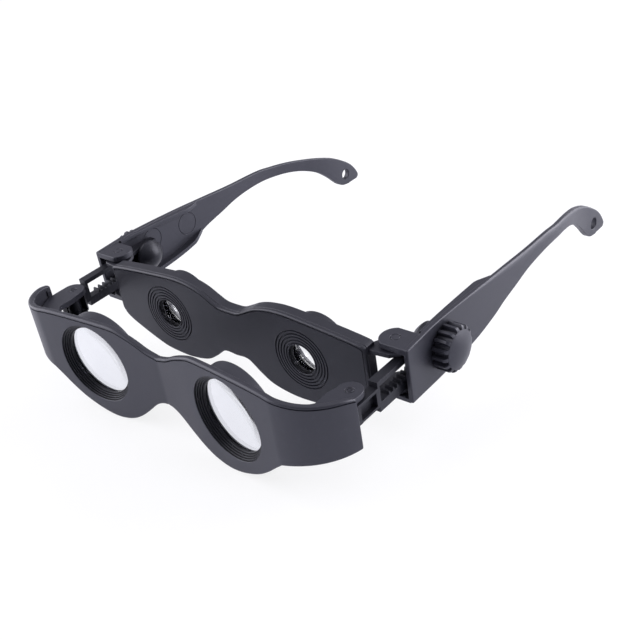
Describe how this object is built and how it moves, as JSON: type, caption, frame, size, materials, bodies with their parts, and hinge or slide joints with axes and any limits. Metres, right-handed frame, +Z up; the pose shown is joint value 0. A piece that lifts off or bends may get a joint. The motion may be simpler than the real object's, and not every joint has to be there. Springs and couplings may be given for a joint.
{
  "type": "binocular magnifying glasses",
  "caption": "Wearable binocular magnifier: a front lens frame slides ahead of the eyepiece frame on knob-driven racks, with hinged temples that fold.",
  "frame": {"origin": "middle of the foot of the bounding box", "axes": "+X towards the wearer's left, +Y from the objectives back to the ear tips, +Z up"},
  "size_m": [0.1562, 0.1838, 0.0383],
  "materials": {
    "black_plastic": "satin moulded",
    "clear_lens": "polished"
  },
  "bodies": {
    "rear_frame": {"rear_frame": "black_plastic", "left_upper_hinge_pin": "black_plastic", "left_lower_hinge_pin": "black_plastic", "left_eyepiece_lens": "clear_lens", "left_eyepiece_ring": "black_plastic", "right_upper_hinge_pin": "black_plastic", "right_lower_hinge_pin": "black_plastic", "right_eyepiece_lens": "clear_lens", "right_eyepiece_ring": "black_plastic"},
    "front_frame": {"front_frame": "black_plastic", "left_front_pin": "black_plastic", "left_objective_lens": "clear_lens", "left_objective_ring": "black_plastic", "right_front_pin": "black_plastic", "right_objective_lens": "clear_lens", "right_objective_ring": "black_plastic"},
    "left_temple": {"left_temple": "black_plastic"},
    "left_rack": {"left_rack": "black_plastic"},
    "left_knob": {"left_knob": "black_plastic", "left_pinion_shaft": "black_plastic", "left_inner_cap": "black_plastic"},
    "right_temple": {"right_temple": "black_plastic"},
    "right_rack": {"right_rack": "black_plastic"},
    "right_knob": {"right_knob": "black_plastic", "right_pinion_shaft": "black_plastic", "right_inner_cap": "black_plastic"}
  },
  "joints": [
    {"name": "focus_slide", "type": "slide", "parent": "rear_frame", "child": "front_frame", "axis": [0, 1, 0], "range_m": [0, 0.0233]},
    {"name": "left_fold", "type": "hinge", "parent": "rear_frame", "child": "left_temple", "pos_m": [0.06365, -0.04662, 0.0249], "axis": [0, 0, 1], "range_deg": [0, 25]},
    {"name": "left_rack_slide", "type": "slide", "parent": "left_temple", "child": "left_rack", "axis": [0, 1, 0], "range_m": [0, 0.0233]},
    {"name": "left_knob_turn", "type": "hinge", "parent": "left_temple", "child": "left_knob", "pos_m": [0.072, -0.03262, 0.0256], "axis": [1, 0, 0], "range_deg": [0, 685]},
    {"name": "right_fold", "type": "hinge", "parent": "rear_frame", "child": "right_temple", "pos_m": [-0.06365, -0.04662, 0.0249], "axis": [0, 0, 1], "range_deg": [-25, 0]},
    {"name": "right_rack_slide", "type": "slide", "parent": "right_temple", "child": "right_rack", "axis": [0, 1, 0], "range_m": [0, 0.0233]},
    {"name": "right_knob_turn", "type": "hinge", "parent": "right_temple", "child": "right_knob", "pos_m": [-0.072, -0.03262, 0.0256], "axis": [1, 0, 0], "range_deg": [0, 685]}
  ],
  "couplings": [
    {"joint": "left_rack_slide", "follows": "focus_slide", "ratio": 1},
    {"joint": "left_knob_turn", "follows": "focus_slide", "rad_per_m": 512.82},
    {"joint": "right_rack_slide", "follows": "focus_slide", "ratio": 1},
    {"joint": "right_knob_turn", "follows": "focus_slide", "rad_per_m": 512.82}
  ]
}
